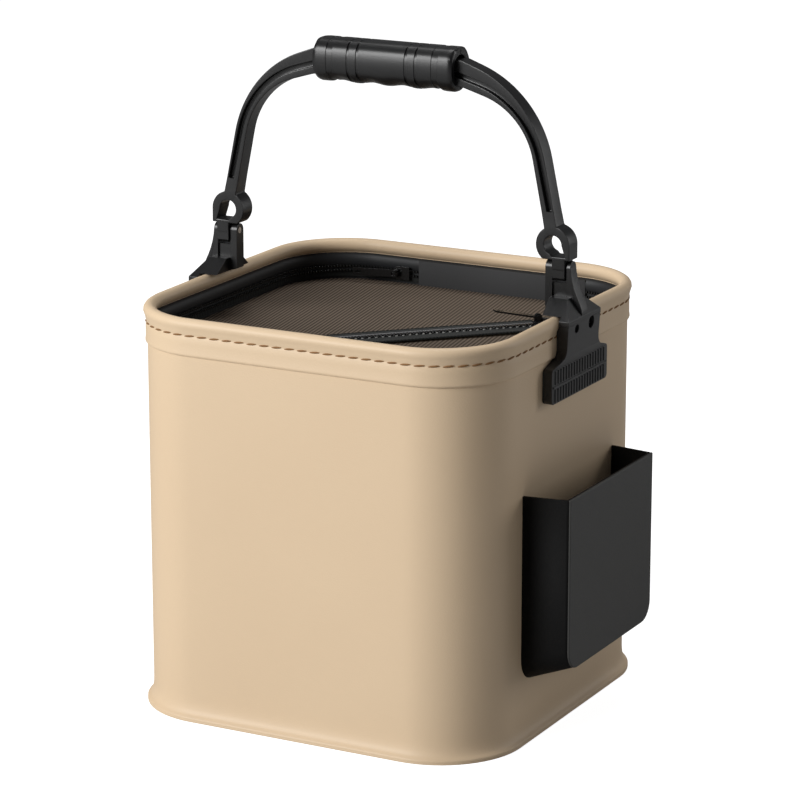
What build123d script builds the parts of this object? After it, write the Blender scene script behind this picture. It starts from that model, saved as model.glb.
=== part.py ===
from build123d import *
import math
import os

# A folding bucket of welded foam sheet: a square body with rounded corners that
# collapses downwards, a stiff rolled rim, a zipped mesh cover let in below the rim,
# a moulded bail handle on two rim brackets, and a moulded pocket on the right side.
# Millimetres, +Z up, +X to the right, -Y to the front. The origin is the middle of
# the face that the bucket stands on.

# Body sheet
body_width = 260.0
body_half = body_width / 2
corner_radius = 53.0
side_length = 2 * (body_half - corner_radius)
sheet = 1.6
base_thickness = 1.5
flange_overhang = 4.3
flange_thickness = 1.5
flange_fillet = 1.4
seam_width = 14.0
seam_thickness = 0.8

# Rim
rim_top = 270.4
bead_radius = 4.3
bead_sides = 12
bead_overhang = 2.6
hoop_width = 2.4
hoop_height = 5.2
hoop_fit = 0.1
hem_depth = 25.5
hem_thickness = 1.2
bead_z = rim_top - bead_radius
bead_half = body_half + bead_overhang - bead_radius
hem_z = rim_top - hem_depth
hem_half = body_half + hem_thickness
wall_inner_half = body_half - sheet

# Inner band and the zip along the wall
band_thickness = 1.2
band_top_depth = 10.6
band_height = 10.8
tape_thickness = 0.8
side_zip_depth = 20.9
side_tape_reach = 7.0
teeth_width = 1.6
teeth_height = 1.4
teeth_gap = 1.6
hinge_left_inset = 85.0
hinge_right_inset = 48.0
hinge_band_top_depth = 13.0
hinge_band_height = 16.4
band_top = rim_top - band_top_depth
band_bottom = band_top - band_height
band_half = wall_inner_half - band_thickness
tape_half = band_half - tape_thickness
side_zip_z = rim_top - side_zip_depth
hinge_left = hinge_left_inset - body_half
hinge_right = body_half - hinge_right_inset
hinge_band_top = rim_top - hinge_band_top_depth
hinge_band_bottom = hinge_band_top - hinge_band_height

# Net cover and the slanting zip in it
mesh_depth = 27.0
mesh_thickness = 0.8
mesh_fit = 0.3
slit_offset = 30.0
slit_tape_width = 14.0
slit_tape_gap = 1.2
mesh_edge_at_zip = 6.0
net_pitch = 19.0
net_gap = 14.0
net_border = 11.0
mesh_top = rim_top - mesh_depth
mesh_half = tape_half - mesh_fit

# Pivot, pin and the tongue of the bail
pivot_rise = 27.6
pivot_inset = 11.0
pin_radius = 2.0
pin_fit = 0.05
pin_end_gap = 0.2
pin_cover = 1.2
pivot_half_width = 6.4
tongue_inner_reach = 0.2
tongue_outer_reach = 9.1
tongue_top_rise = 7.5
shoulder_inner_reach = 6.3
shoulder_outer_reach = 12.4
shoulder_rise = 5.5
pivot_z = rim_top + pivot_rise
pivot_x = body_half - pivot_inset

# Ring end of each arm
ring_rise = 15.0
ring_shift = 0.5
ring_radius = 11.9
ring_hole_radius = 6.1
neck_rise = 36.0
neck_blend = 7.0

# Arm and core of the bail
arm_half_width = 6.0
arm_outer_reach = 2.8
arm_inner_reach = 6.2
arm_foot_rise = 28.0
arm_outer_corner_inset = 14.4
arm_outer_corner_rise = 109.6
arm_inner_corner_inset = 20.4
arm_inner_corner_rise = 97.7
arm_outer_bend = 76.0
arm_inner_bend = 50.0
grip_rise = 121.7
core_over = 6.3
core_under = 10.7
core_bend = 12.0
core_overreach = 3.0
groove_width = 3.4
groove_depth = 3.6
groove_foot_inset = 2.2
groove_foot_rise = 36.0
groove_corner_inset = 17.6
groove_corner_rise = 103.6
groove_drop = 2.2
groove_bend = 62.0

# Grip
grip_length = 101.0
grip_radius = 15.2
grip_chamfer = 3.0
grip_groove_width = 1.6
grip_groove_depth = 0.8
grip_grooves = (17.6, 22.6, 36.4)
grip_seam = 0.05
core_fit = 0.1
grip_z = pivot_z + grip_rise

# Cheeks and roof of the rim brackets
bracket_fit = 0.3
cheek_fit = 0.3
cheek_half_width = 4.6
cheek_reach = 5.2
cheek_foot_rise = 2.2
cheek_flare = 3.0
cheek_flare_drop = 5.0
roof_foot_reach = 1.0
roof_rise = 9.4
roof_run = 2.2
roof_half = 9.6
eave_drop = 1.9
eave_thickness = 3.0

# Plate and foot of the rim brackets
shoulder_half = 24.0
plate_reach = 10.0
waist_reach = 8.6
waist_half = 23.4
waist_rise = 5.0
foot_half = 41.4
foot_reach = 7.0
foot_top_depth = 30.0
foot_height = 22.4
foot_corner = 3.0
waist_corner = 8.0
rib_pitch = 4.0
rib_width = 1.9
rib_height = 0.7
rib_margin = 0.8
ledge_height = 1.2
bead_side = body_half + bead_overhang + bracket_fit
plate_outer = body_half + plate_reach
foot_outer = body_half + foot_reach
foot_top = rim_top - foot_top_depth
foot_bottom = foot_top - foot_height
eave_z = rim_top - eave_drop

# Screws through the bracket plate
screw_spread = 10.8
screw_depth = 8.6
recess_depth = 4.2
front_recess_radius = 2.9
rear_recess_radius = 4.0
screw_head_radius = 2.5
screw_head_height = 1.4
screw_shank_radius = 1.3
screw_bite = 0.4
screw_z = rim_top - screw_depth
recess_floor = plate_outer - recess_depth
screw_end = body_half - screw_bite

# Side pocket
pocket_back_half = 68.0
pocket_front_half = 63.5
pocket_depth = 30.5
pocket_top = 164.5
pocket_wall = 2.0
pocket_back_bottom = 40.0
pocket_front_bottom = 51.0
pocket_corner = 15.0
pocket_edge = 1.2

# Zip sliders and pulls
slider_length = 13.0
slider_half = 4.6
slider_plate = 1.2
slider_fit = 0.3
slider_nose = 3.6
post_half = 0.5
post_length = 3.0
crown_half = 1.0
crown_radius = 2.6
crown_bore = 1.2
crown_sink = 0.2
crown_setback = 1.0
pull_pin_fit = 0.08
cheek_gap = 0.3
cheek_thickness = 1.3
cheek_wall = 0.7
pull_length = 31.0
pull_thickness = 1.2
pull_hole_length = 4.4
pull_hole_width = 1.8
pull_hole_inset = 4.0
side_slider_setback = 13.0
slit_slider_inset = 28.5
slit_pull_lift = 12.0
side_pull_lift = 12.0
side_slider_x = hinge_left - side_slider_setback
slit_slider_run = mesh_half - slit_slider_inset

os.makedirs("parts", exist_ok=True)


def save(part, name):
    """Labels a finished part and writes it as its own file."""
    part.label = name
    export_step(part, f"parts/{name}.step")


def loop(half, mode=Mode.ADD):
    """A rounded square of the body's plan, with its sides at a given distance from the axis."""
    RectangleRounded(2 * half, 2 * half, corner_radius - (body_half - half), mode=mode)


def ring_of_sheet(outer_half, inner_half):
    """The plan of an upright sheet that follows the wall."""
    loop(outer_half)
    loop(inner_half, mode=Mode.SUBTRACT)


def hinge_zone(mode):
    """The stretch of the back wall where the cover is sewn on instead of zipped."""
    with Locations(((hinge_left + hinge_right) / 2, body_half)):
        Rectangle(hinge_right - hinge_left, body_half, mode=mode)


def slit_place(run, across):
    """A plan point from a distance along the slanting zip and a distance across it."""
    root = math.sqrt(0.5)
    x = slit_offset / 2 + root * (run - across)
    y = -slit_offset / 2 + root * (run + across)
    return x, y


def slit_strip(low, high, mode=Mode.INTERSECT):
    """Keeps or cuts the part of a plan that lies between two distances across the slanting zip."""
    with Locations(slit_place(0, (low + high) / 2)):
        Rectangle(2 * body_width, high - low, rotation=45, mode=mode)


def around_rim(section):
    """Takes a section, drawn with x as the distance from the axis, round the body's plan."""
    with BuildPart() as quarter:
        with BuildSketch(Plane.XZ.offset(-side_length / 2)):
            add(section)
        extrude(amount=side_length)
        with BuildSketch(Plane.XZ.offset(-side_length / 2)):
            add(section)
        revolve(axis=Axis((side_length / 2, side_length / 2, 0), (0, 0, 1)), revolution_arc=90)
    with BuildPart() as ring:
        for turn in range(4):
            add(quarter.part, rotation=(0, 0, 90 * turn))
    return ring.part


# Base panel: the flat sheet that the bucket stands on, out to the edge of the welded flange.
with BuildPart() as base_panel:
    with BuildSketch(Plane.XY):
        loop(body_half + flange_overhang)
    extrude(amount=base_thickness)
save(base_panel.part, "base_panel")

# Wall panel: one sheet round the body, turned outwards at its foot and welded to the base.
with BuildPart() as wall_panel:
    with BuildSketch(Plane.XY.offset(base_thickness)):
        loop(body_half)
    extrude(amount=hem_z - base_thickness)
    with BuildSketch(Plane.XY.offset(base_thickness)):
        loop(body_half + flange_overhang)
    extrude(amount=flange_thickness)
    foot_edges = wall_panel.edges().filter_by_position(
        Axis.Z, base_thickness + flange_thickness - 0.01, base_thickness + flange_thickness + 0.01
    )
    inner_loop = [edge for edge in foot_edges if edge.bounding_box().max.X < body_half + 0.1
                  and edge.bounding_box().min.X > -body_half - 0.1
                  and edge.bounding_box().max.Y < body_half + 0.1
                  and edge.bounding_box().min.Y > -body_half - 0.1]
    chamfer(inner_loop, flange_fillet)
    with BuildSketch(Plane.XY.offset(base_thickness)):
        loop(wall_inner_half)
    extrude(amount=hem_z - base_thickness, mode=Mode.SUBTRACT)
save(wall_panel.part, "wall_panel")

# Back seam: the strip that closes the wall sheet on itself.
with BuildPart() as wall_seam:
    seam_low = base_thickness + flange_thickness + flange_fillet
    with BuildSketch(Plane.XY.offset(seam_low)):
        with Locations((0, body_half + seam_thickness / 2)):
            Rectangle(seam_width, seam_thickness)
    extrude(amount=hem_z - seam_low)
save(wall_seam.part, "wall_seam")


def pocket_view(x, half, bottom, top, corner):
    """The pocket's outline seen from its front, at one distance from the bucket's axis."""
    with BuildSketch(Plane.YZ.offset(x)) as view:
        with BuildLine():
            FilletPolyline((-half, top), (-half, bottom), (half, bottom), (half, top), radius=corner)
            Line((half, top), (-half, top))
        make_face()
    return view.sketch


# Side pocket: a moulded box, open at the top, that narrows outwards and is welded to the wall.
pocket_front = body_half + pocket_depth
with BuildPart() as pocket_room:
    add(pocket_view(body_half + pocket_wall, pocket_back_half - pocket_wall,
                    pocket_back_bottom + pocket_wall, pocket_top + pocket_wall, pocket_corner - pocket_wall))
    add(pocket_view(pocket_front - pocket_wall, pocket_front_half - pocket_wall,
                    pocket_front_bottom + pocket_wall, pocket_top + pocket_wall, pocket_corner - pocket_wall))
    loft(ruled=True)
with BuildPart() as side_pocket:
    add(pocket_view(body_half, pocket_back_half, pocket_back_bottom, pocket_top, pocket_corner))
    add(pocket_view(pocket_front, pocket_front_half, pocket_front_bottom, pocket_top, pocket_corner))
    loft(ruled=True)
    add(pocket_room.part, mode=Mode.SUBTRACT)
    front_outline = side_pocket.faces().sort_by(Axis.X)[-1].edges().sort_by(Axis.Z)[:-1]
    chamfer(front_outline, pocket_edge)
save(side_pocket.part, "side_pocket")

# Rim sleeve: sheet rolled over the stiffening strip and welded down as a hem.
with BuildSketch() as sleeve_section:
    with Locations((bead_half, bead_z)):
        RegularPolygon(bead_radius, bead_sides, major_radius=False, rotation=180 / bead_sides)
    with Locations(((wall_inner_half + hem_half) / 2, (hem_z + bead_z) / 2)):
        Rectangle(hem_half - wall_inner_half, bead_z - hem_z)
    with Locations((bead_half, bead_z)):
        Rectangle(hoop_width + 2 * hoop_fit, hoop_height + 2 * hoop_fit, mode=Mode.SUBTRACT)
with BuildPart() as rim_sleeve:
    add(around_rim(sleeve_section.sketch))
    for side in (1, -1):
        with BuildSketch(Plane.YZ.offset(side * screw_end)):
            with Locations((-screw_spread, screw_z), (screw_spread, screw_z)):
                Circle(screw_shank_radius)
        extrude(amount=side * (hem_half - screw_end + bead_overhang), mode=Mode.SUBTRACT)
save(rim_sleeve.part, "rim_sleeve")

# Rim strip: the flat springy strip inside the rolled rim.
with BuildSketch() as hoop_section:
    with Locations((bead_half, bead_z)):
        Rectangle(hoop_width, hoop_height)
save(around_rim(hoop_section.sketch), "rim_hoop")

# Inner band: the dark strip sewn inside the rim, which carries the zips.
with BuildPart() as inner_band:
    with BuildSketch(Plane.XY.offset(band_bottom)):
        ring_of_sheet(wall_inner_half, band_half)
    extrude(amount=band_top - band_bottom)
save(inner_band.part, "inner_band")

# Hinge band: the plain strip at the back, to which the cover is sewn.
with BuildPart() as hinge_band:
    with BuildSketch(Plane.XY.offset(hinge_band_bottom)):
        ring_of_sheet(band_half, tape_half)
        hinge_zone(Mode.INTERSECT)
    extrude(amount=hinge_band_top - hinge_band_bottom)
save(hinge_band.part, "hinge_band")


def side_strip(outer_half, inner_half):
    """The plan of an upright strip along the zipped stretches of the wall."""
    ring_of_sheet(outer_half, inner_half)
    hinge_zone(Mode.SUBTRACT)


# Side zip, rim half: tape and teeth above the parting line.
with BuildPart() as side_zip_tape:
    with BuildSketch(Plane.XY.offset(side_zip_z + teeth_gap / 2)):
        side_strip(band_half, tape_half)
    extrude(amount=side_tape_reach)
save(side_zip_tape.part, "side_zip_tape")

with BuildPart() as side_zip_teeth:
    with BuildSketch(Plane.XY.offset(side_zip_z + teeth_gap / 2)):
        side_strip(tape_half, tape_half - teeth_height)
    extrude(amount=teeth_width)
save(side_zip_teeth.part, "side_zip_teeth")

# Side zip, cover half: tape and teeth below the parting line, down to the mesh.
with BuildPart() as cover_side_tape:
    with BuildSketch(Plane.XY.offset(mesh_top)):
        side_strip(band_half, tape_half)
    extrude(amount=side_zip_z - teeth_gap / 2 - mesh_top)
save(cover_side_tape.part, "cover_side_tape")

with BuildPart() as cover_side_teeth:
    with BuildSketch(Plane.XY.offset(side_zip_z - teeth_gap / 2 - teeth_width)):
        side_strip(tape_half, tape_half - teeth_height)
    extrude(amount=teeth_width)
save(cover_side_teeth.part, "cover_side_teeth")


def net_spots(side):
    """The gap centres of the net on one side of the slanting zip, kept clear of every edge."""
    reach = mesh_half - net_border
    rounding = corner_radius - (body_half - mesh_half)
    steps = int(2 * body_width / net_pitch)
    spots = []
    for i in range(-steps, steps):
        for j in range(steps):
            across = side * (mesh_edge_at_zip + net_border + j * net_pitch)
            x, y = slit_place(i * net_pitch, across)
            past_x = max(abs(x) - (mesh_half - rounding), 0)
            past_y = max(abs(y) - (mesh_half - rounding), 0)
            if max(abs(x), abs(y)) < reach and math.hypot(past_x, past_y) < rounding - net_border:
                spots.append((x, y))
    return spots


def net_plan(side):
    """The plan of the cover on one side of the slanting zip, with its grid of gaps."""
    loop(mesh_half)
    if side > 0:
        slit_strip(mesh_edge_at_zip, body_width)
    else:
        slit_strip(-body_width, -mesh_edge_at_zip)
    with Locations(*net_spots(side)):
        Rectangle(net_gap, net_gap, rotation=45, mode=Mode.SUBTRACT)


# Mesh cover: two panels of net, sewn to the two halves of the slanting zip.
with BuildPart() as cover_mesh_rear:
    with BuildSketch(Plane.XY.offset(mesh_top - mesh_thickness)):
        net_plan(1)
    extrude(amount=mesh_thickness)
save(cover_mesh_rear.part, "cover_mesh_rear")

with BuildPart() as cover_mesh_front:
    with BuildSketch(Plane.XY.offset(mesh_top - mesh_thickness)):
        net_plan(-1)
    extrude(amount=mesh_thickness)
save(cover_mesh_front.part, "cover_mesh_front")


def slit_plan(low, high):
    """The plan of a strip of the slanting zip, cut off where it reaches the side strips."""
    loop(mesh_half - teeth_height)
    slit_strip(low, high)


# Slanting zip: the slit in the cover, with a tape and teeth on each side.
zip_strips = {
    "slit_tape_front": (-slit_tape_width, -slit_tape_gap, 0, tape_thickness),
    "slit_teeth_front": (-teeth_gap / 2 - 2 * teeth_width, -teeth_gap / 2, tape_thickness, teeth_height),
    "slit_tape_rear": (slit_tape_gap, slit_tape_width, 0, tape_thickness),
    "slit_teeth_rear": (teeth_gap / 2, teeth_gap / 2 + 2 * teeth_width, tape_thickness, teeth_height),
}
for strip_name, (low, high, height, thickness) in zip_strips.items():
    with BuildPart() as zip_strip:
        with BuildSketch(Plane.XY.offset(mesh_top + height)):
            slit_plan(low, high)
        extrude(amount=thickness)
    save(zip_strip.part, strip_name)


def turned(place, x_dir, z_dir):
    """A plane through the same point, with axes given in the place's own directions."""
    def world(direction):
        x, y, z = direction
        return place.x_dir * x + place.y_dir * y + place.z_dir * z
    return Plane(origin=place.origin, x_dir=world(x_dir), z_dir=world(z_dir))


# A slider's place has x along the zip, towards the closed end, and z out of the tape's face.
# Its origin is on the tape's outer face, in the middle of the slider.
slit_x, slit_y = slit_place(slit_slider_run, 0)
slit_slider_place = Plane(
    origin=(slit_x, slit_y, mesh_top + tape_thickness), x_dir=(1, 1, 0), z_dir=(0, 0, 1)
)
side_slider_place = Plane(origin=(side_slider_x, tape_half, side_zip_z), x_dir=(1, 0, 0), z_dir=(0, -1, 0))

slider_roof = teeth_height + slider_fit
crown_axis_height = slider_roof + slider_plate + crown_radius - crown_sink
crown_axis_run = -slider_length / 2 + crown_radius + crown_setback


def slider_outline():
    """The outline of a slider's plate: blunt at the closed end and narrowed at the pull's end."""
    Polygon(
        (slider_length / 2, slider_half), (-slider_length / 2 + slider_nose, slider_half),
        (-slider_length / 2, slider_half / 2), (-slider_length / 2, -slider_half / 2),
        (-slider_length / 2 + slider_nose, -slider_half), (slider_length / 2, -slider_half), align=None,
    )


def zip_slider(place, under):
    """A slider: two plates over and under the teeth, a post between them and a crown for the pull."""
    tape_back = -tape_thickness - slider_fit
    with BuildPart() as slider:
        with BuildSketch(place.offset(slider_roof)):
            slider_outline()
        extrude(amount=slider_plate)
        if under:
            with BuildSketch(place.offset(tape_back - slider_plate)):
                slider_outline()
            extrude(amount=slider_plate)
            with BuildSketch(place.offset(tape_back - 0.2)):
                with Locations((slider_length / 2 - post_length / 2, 0)):
                    Rectangle(post_length, 2 * post_half)
            extrude(amount=slider_roof - tape_back + 0.4)
        else:
            with BuildSketch(place.offset(slider_fit)):
                with Locations((slider_length / 2 - post_length / 2, 0)):
                    Rectangle(post_length, 2 * post_half)
            extrude(amount=slider_roof)
        with BuildSketch(turned(place, (1, 0, 0), (0, -1, 0)).offset(-crown_half)):
            with Locations((crown_axis_run, crown_axis_height)):
                Circle(crown_radius)
            with Locations((crown_axis_run, (crown_axis_height + slider_roof + 0.3) / 2)):
                Rectangle(2 * crown_radius, crown_axis_height - slider_roof - 0.3)
            with Locations((crown_axis_run, crown_axis_height)):
                Circle(crown_bore, mode=Mode.SUBTRACT)
        extrude(amount=2 * crown_half)
    return slider.part


def zip_pull(place, lift):
    """A pull: a flat tab with two cheeks and a cross pin through the slider's crown."""
    side_view = turned(place, (1, 0, 0), (0, -1, 0))
    axis_plane = Plane(
        origin=side_view.from_local_coords((crown_axis_run, crown_axis_height, 0)),
        x_dir=side_view.x_dir * math.cos(math.radians(lift)) - side_view.y_dir * math.sin(math.radians(lift)),
        z_dir=side_view.z_dir,
    )
    cheek_inner = crown_half + cheek_gap
    cheek_outer = cheek_inner + cheek_thickness
    tab_start = crown_radius + 2 * cheek_gap
    pin_grip = crown_bore + cheek_wall
    with BuildPart() as pull:
        with BuildSketch(axis_plane.offset(-cheek_outer)):
            Circle(pin_grip)
            with Locations((-tab_start / 2 - cheek_gap, 0)):
                Rectangle(tab_start + 2 * cheek_gap, pull_thickness)
        extrude(amount=2 * cheek_outer)
        with BuildSketch(axis_plane.offset(-cheek_inner)):
            Circle(tab_start)
        extrude(amount=2 * cheek_inner, mode=Mode.SUBTRACT)
        with BuildSketch(axis_plane.offset(-cheek_outer)):
            Circle(crown_bore - pull_pin_fit)
        extrude(amount=2 * cheek_outer)
        tab_plane = Plane(origin=axis_plane.origin, x_dir=-axis_plane.x_dir, z_dir=axis_plane.y_dir)
        with BuildSketch(tab_plane.offset(-pull_thickness / 2)):
            with Locations(((tab_start + pull_length) / 2, 0)):
                Rectangle(pull_length - tab_start, 2 * cheek_outer)
        extrude(amount=pull_thickness)
        with BuildSketch(tab_plane.offset(-pull_thickness)):
            with Locations((pull_length - pull_hole_inset, 0)):
                Rectangle(pull_hole_length, pull_hole_width)
        extrude(amount=2 * pull_thickness, mode=Mode.SUBTRACT)
    return pull.part


save(zip_slider(slit_slider_place, True), "slit_zip_slider")
save(zip_slider(side_slider_place, False), "side_zip_slider")
save(zip_pull(slit_slider_place, slit_pull_lift), "slit_zip_pull")
save(zip_pull(side_slider_place, side_pull_lift), "side_zip_pull")

# Bracket plate: it stands off the wall over the bead, narrows, and widens into the foot.
with BuildPart() as bracket_plate:
    with BuildSketch(Plane.XZ.offset(-foot_half)):
        with BuildLine():
            Polyline(
                (plate_outer, eave_z), (body_half + waist_reach, foot_top + waist_rise),
                (foot_outer, foot_top), (foot_outer, foot_bottom), (body_half + bracket_fit, foot_bottom),
                (body_half + bracket_fit, hem_z - bracket_fit), (hem_half + bracket_fit, hem_z),
                (hem_half + bracket_fit, bead_z - bead_radius), (bead_side, bead_z - bead_radius / 2),
                (bead_side, eave_z), (plate_outer, eave_z),
            )
        make_face()
    extrude(amount=2 * foot_half)
    with BuildSketch(Plane.YZ.offset(body_half)):
        with BuildLine():
            FilletPolyline(
                (0, foot_bottom), (foot_half, foot_bottom), (foot_half, foot_top),
                (waist_half, foot_top + waist_rise), (shoulder_half, eave_z), (0, eave_z),
                radius=[foot_corner, foot_corner, waist_corner, rib_margin],
            )
            Line((0, eave_z), (0, foot_bottom))
        make_face()
        mirror(about=Plane.YZ)
    extrude(amount=plate_reach + foot_reach, mode=Mode.INTERSECT)

# Bracket roof: the sloping saddle over the bead, as wide as the block at its top and as the
# plate at its eave.
roof_z = rim_top + roof_rise
saddle_z = rim_top + bracket_fit
with BuildPart() as bracket_roof:
    with BuildSketch(Plane.XZ.offset(-shoulder_half)):
        with BuildLine():
            Polyline(
                (pivot_x, roof_z), (body_half + roof_run, roof_z), (plate_outer, eave_z),
                (plate_outer, eave_z - eave_thickness), (bead_side, eave_z - eave_thickness),
                (bead_side, saddle_z), (pivot_x + roof_foot_reach, saddle_z), (pivot_x, roof_z),
            )
        make_face()
    extrude(amount=2 * shoulder_half)
    with BuildSketch(Plane.YZ.offset(pivot_x)):
        Polygon(
            (-roof_half, roof_z), (roof_half, roof_z), (shoulder_half, eave_z),
            (shoulder_half, eave_z - eave_thickness), (-shoulder_half, eave_z - eave_thickness),
            (-shoulder_half, eave_z), align=None,
        )
    extrude(amount=pivot_inset + plate_reach, mode=Mode.INTERSECT)

# Cheeks: two uprights with round tops, one each side of the bail's tongue. The outer one flares
# out into the roof, and the pin's bore stops short of its outer face.
outer_cheek_x = pivot_x + tongue_outer_reach + cheek_fit
pin_start = pivot_x - cheek_reach + pin_end_gap
pin_end = pivot_x + shoulder_outer_reach - pin_cover
with BuildPart() as bracket_cheeks:
    with BuildSketch(Plane.XZ.offset(-cheek_half_width)):
        Polygon(
            (pivot_x - cheek_reach, rim_top + cheek_foot_rise),
            (pivot_x - cheek_reach, pivot_z + cheek_half_width),
            (pivot_x - tongue_inner_reach, pivot_z + cheek_half_width),
            (pivot_x - tongue_inner_reach, roof_z),
            (pivot_x + roof_foot_reach, roof_z), (pivot_x + roof_foot_reach, saddle_z), align=None,
        )
        Polygon(
            (outer_cheek_x, roof_z - cheek_flare), (outer_cheek_x, pivot_z + cheek_half_width),
            (pivot_x + shoulder_outer_reach, pivot_z + cheek_half_width),
            (pivot_x + shoulder_outer_reach, pivot_z - cheek_flare_drop),
            (pivot_x + shoulder_outer_reach + cheek_flare, roof_z),
            (pivot_x + shoulder_outer_reach + cheek_flare, roof_z - cheek_flare), align=None,
        )
    extrude(amount=2 * cheek_half_width)
    with BuildSketch(Plane.YZ.offset(pivot_x - 2 * cheek_reach)):
        with Locations((0, pivot_z)):
            Circle(cheek_half_width)
        with Locations((0, (pivot_z + rim_top) / 2)):
            Rectangle(2 * cheek_half_width, pivot_z - rim_top)
    extrude(amount=8 * cheek_reach, mode=Mode.INTERSECT)
    with BuildSketch(Plane.YZ.offset(pivot_x - 2 * cheek_reach)):
        with Locations((0, pivot_z)):
            Circle(pin_radius + pin_fit)
    extrude(amount=pin_end - pivot_x + 2 * cheek_reach, mode=Mode.SUBTRACT)

# Right bracket: the cheeks on the roof, over the plate with its ribbed foot.
with BuildPart() as bracket_right:
    add(bracket_roof.part)
    add(bracket_cheeks.part)
    add(bracket_plate.part)
    rib_zone = (foot_height - ledge_height) / 2 - 2 * rib_margin
    rib_count = int((2 * foot_half - 2 * foot_corner) / rib_pitch)
    ledge_z = (foot_top + foot_bottom) / 2
    for row in (-1, 1):
        with BuildSketch(Plane.YZ.offset(foot_outer)):
            with GridLocations(rib_pitch, 1, rib_count, 1):
                with Locations((0, ledge_z + row * (ledge_height / 2 + rib_margin + rib_zone / 2))):
                    Rectangle(rib_width, rib_zone)
        extrude(amount=rib_height)
    with BuildSketch(Plane.YZ.offset(foot_outer)):
        with Locations((0, ledge_z)):
            Rectangle(2 * foot_half - foot_corner, ledge_height)
    extrude(amount=rib_height)
    for recess_y, recess_radius in ((-screw_spread, front_recess_radius), (screw_spread, rear_recess_radius)):
        with BuildSketch(Plane.YZ.offset(recess_floor)):
            with Locations((recess_y, screw_z)):
                Circle(recess_radius)
        extrude(amount=2 * recess_depth, mode=Mode.SUBTRACT)
        with BuildSketch(Plane.YZ.offset(body_half)):
            with Locations((recess_y, screw_z)):
                Circle(screw_shank_radius)
        extrude(amount=plate_reach, mode=Mode.SUBTRACT)
save(bracket_right.part, "bracket_right")

with BuildPart() as bracket_left:
    mirror(bracket_right.part, about=Plane.YZ)
save(bracket_left.part, "bracket_left")

# Bracket screws: two on each side, with their heads down in round recesses.
with BuildPart() as bracket_screws:
    for side in (1, -1):
        with BuildSketch(Plane.YZ.offset(side * recess_floor)):
            with Locations((-screw_spread, screw_z), (screw_spread, screw_z)):
                Circle(screw_head_radius)
        extrude(amount=side * screw_head_height)
        with BuildSketch(Plane.YZ.offset(side * recess_floor)):
            with Locations((-screw_spread, screw_z), (screw_spread, screw_z)):
                Circle(screw_shank_radius)
        extrude(amount=-side * (recess_floor - screw_end))
save(bracket_screws.part, "bracket_screws")

# Pivot pins: one through each tongue and its cheeks, put in from the inside and covered outside.
with BuildPart() as pivot_pins:
    for side in (1, -1):
        with BuildSketch(Plane.YZ.offset(side * pin_start)):
            with Locations((0, pivot_z)):
                Circle(pin_radius)
        extrude(amount=side * (pin_end - pin_start))
save(pivot_pins.part, "pivot_pins")

# Arm lines: the outer and inner edges of the right arm, from foot to bend to grip.
arm_foot_z = pivot_z + arm_foot_rise
outer_foot = (pivot_x + arm_outer_reach, arm_foot_z)
inner_foot = (pivot_x - arm_inner_reach, arm_foot_z)
outer_corner = (pivot_x - arm_outer_corner_inset, pivot_z + arm_outer_corner_rise)
inner_corner = (pivot_x - arm_inner_corner_inset, pivot_z + arm_inner_corner_rise)
core_top = grip_z + core_over
core_bottom = grip_z - core_under
core_reach = grip_length / 2 + core_overreach


def along(foot, corner, z):
    """The point of an arm's straight edge at one height."""
    share = (z - foot[1]) / (corner[1] - foot[1])
    return foot[0] + share * (corner[0] - foot[0]), z


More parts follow.
